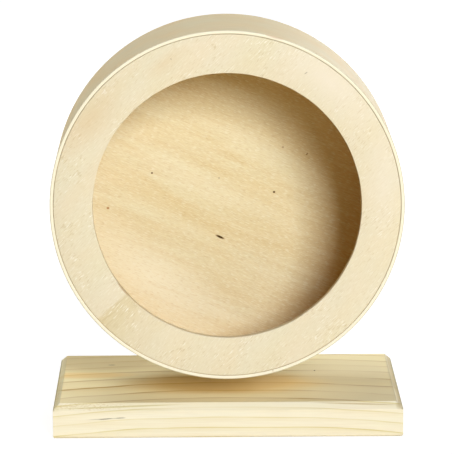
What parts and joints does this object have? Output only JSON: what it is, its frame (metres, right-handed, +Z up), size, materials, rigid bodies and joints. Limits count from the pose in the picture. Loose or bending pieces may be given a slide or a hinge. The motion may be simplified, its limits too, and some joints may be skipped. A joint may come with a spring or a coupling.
{
  "type": "rodent exercise wheel",
  "caption": "Shallow wooden drum with a round way in through its front ring, turning on ball bearings in an upright behind it, on a rectangular base board.",
  "frame": {"origin": "middle of the base board's underside, which is the bottom centre of the whole object's box", "axes": "+Z up; the way in faces -Y; +X to the right as seen from the front; the axle lies along Y"},
  "size_m": [0.2, 0.12, 0.2345],
  "materials": {
    "pine": "planed and sanded, unfinished",
    "plywood": "sanded, unfinished",
    "beech": "turned, unfinished",
    "zinc_plated_steel": "bright zinc plate",
    "bearing_steel": "ground"
  },
  "bodies": {
    "stand": {"base_board": "pine", "upright_board": "pine", "stand_dowels": "beech", "stand_screws": "zinc_plated_steel", "front_outer_race": "bearing_steel", "front_shields": "bearing_steel", "rear_outer_race": "bearing_steel", "rear_shields": "bearing_steel"},
    "wheel": {"running_band": "plywood", "front_ring": "plywood", "back_disc": "plywood", "hub_block": "beech", "hub_screws": "zinc_plated_steel", "tee_nut": "zinc_plated_steel", "axle_bolt": "zinc_plated_steel", "front_washer": "zinc_plated_steel", "rear_washer": "zinc_plated_steel", "race_spacer": "zinc_plated_steel", "front_inner_race": "bearing_steel", "rear_inner_race": "bearing_steel"},
    "front_ball_set": {"front_balls": "bearing_steel", "front_cage": "bearing_steel"},
    "rear_ball_set": {"rear_balls": "bearing_steel", "rear_cage": "bearing_steel"}
  },
  "joints": [
    {"name": "wheel_spin", "type": "hinge", "parent": "stand", "child": "wheel", "pos_m": [0, 0, 0.1345], "axis": [0, 1, 0], "continuous": true},
    {"name": "front_balls_roll", "type": "hinge", "parent": "stand", "child": "front_ball_set", "pos_m": [0, 0.0325, 0.1345], "axis": [0, 1, 0], "continuous": true},
    {"name": "rear_balls_roll", "type": "hinge", "parent": "stand", "child": "rear_ball_set", "pos_m": [0, 0.0435, 0.1345], "axis": [0, 1, 0], "continuous": true}
  ],
  "couplings": [
    {"joint": "front_balls_roll", "follows": "wheel_spin", "ratio": 0.3677},
    {"joint": "rear_balls_roll", "follows": "wheel_spin", "ratio": 0.3677}
  ]
}
